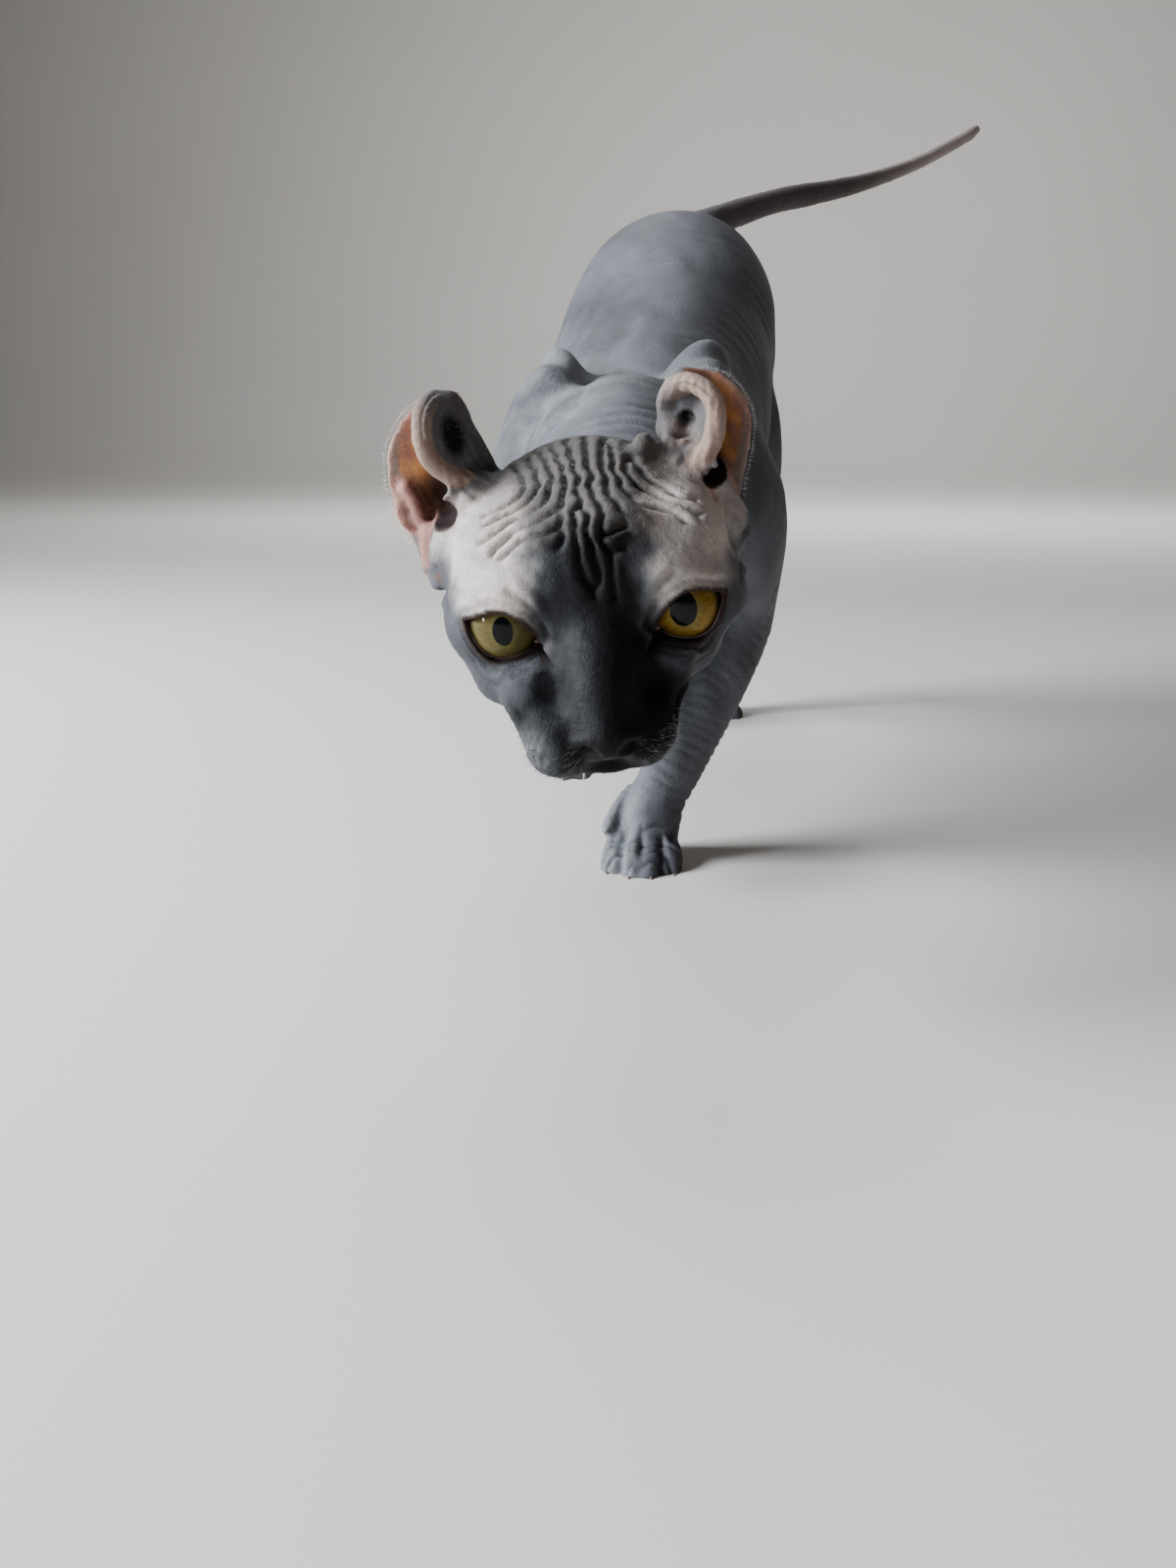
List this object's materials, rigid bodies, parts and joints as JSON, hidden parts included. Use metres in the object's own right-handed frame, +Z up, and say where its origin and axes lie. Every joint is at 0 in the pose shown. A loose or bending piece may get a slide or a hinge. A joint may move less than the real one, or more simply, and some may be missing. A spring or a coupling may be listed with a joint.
{
  "type": "sphynx cat with curled ears",
  "caption": "Life-size still model of a hairless cat with curled-back ears, walking with its head low and its tail raised.",
  "frame": {"origin": "on the floor, under the middle of the cat's bounding box", "axes": "+Z up; the cat walks towards -Y, and its left side is at +X"},
  "size_m": [0.2274, 0.5884, 0.35],
  "materials": {
    "skin": "satin",
    "ear_skin": "satin",
    "eye": "gloss"
  },
  "bodies": {
    "root": {"head": "skin", "ear_left": "ear_skin", "ear_right": "ear_skin", "eye_left": "eye", "eye_right": "eye", "neck": "skin", "chest": "skin", "belly_and_rump": "skin", "tail_base": "skin", "tail_middle": "skin", "tail_tip": "skin", "foreleg_left_upper": "skin", "foreleg_left_lower": "skin", "forepaw_left": "skin", "foreleg_right_upper": "skin", "foreleg_right_lower": "skin", "forepaw_right": "skin", "hindleg_left_upper": "skin", "hindleg_left_lower": "skin", "hindpaw_left": "skin", "hindleg_right_upper": "skin", "hindleg_right_lower": "skin", "hindpaw_right": "skin"}
  },
  "joints": []
}
